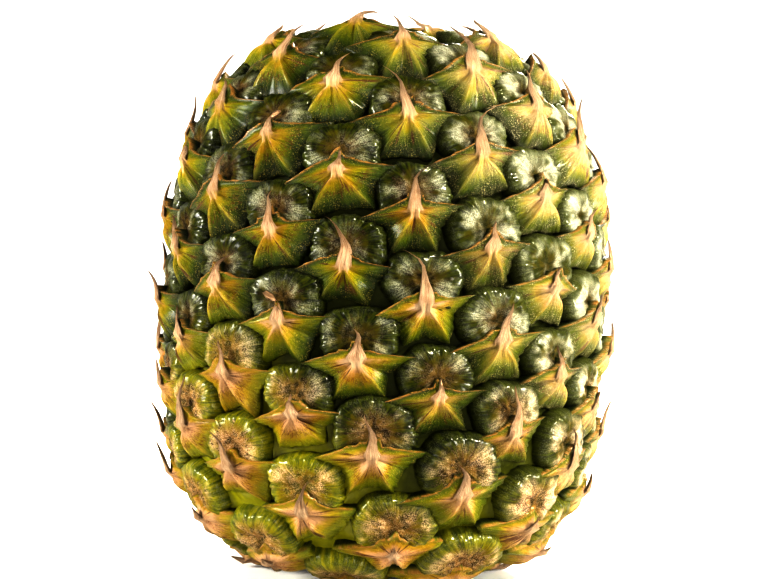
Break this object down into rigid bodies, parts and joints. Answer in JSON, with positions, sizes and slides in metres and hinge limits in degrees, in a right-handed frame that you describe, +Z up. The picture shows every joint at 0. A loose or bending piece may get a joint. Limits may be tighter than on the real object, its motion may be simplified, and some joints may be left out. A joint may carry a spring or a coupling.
{
  "type": "pineapple",
  "caption": "Whole ripe pineapple with its crown twisted off: barrel-shaped fruit with spiny eyes, a level-cut stem stub it stands on and a torn crown scar on top.",
  "frame": {"origin": "centre of the stem stub's level cut face, under the fruit's axis", "axes": "+Z up along the fruit's axis from the cut stem to the crown scar; -Y is the front; the steep spirals run down to the left"},
  "size_m": [0.1303, 0.1305, 0.1532],
  "materials": {
    "rind": "waxy green and orange-brown rind with papery tan spines",
    "dry_stem": "dry fibrous cut stem with papery brown scales",
    "dry_scar": "dry torn fibres"
  },
  "bodies": {
    "root": {"fruit": "rind", "stem_stub": "dry_stem", "crown_scar": "dry_scar"}
  },
  "joints": []
}
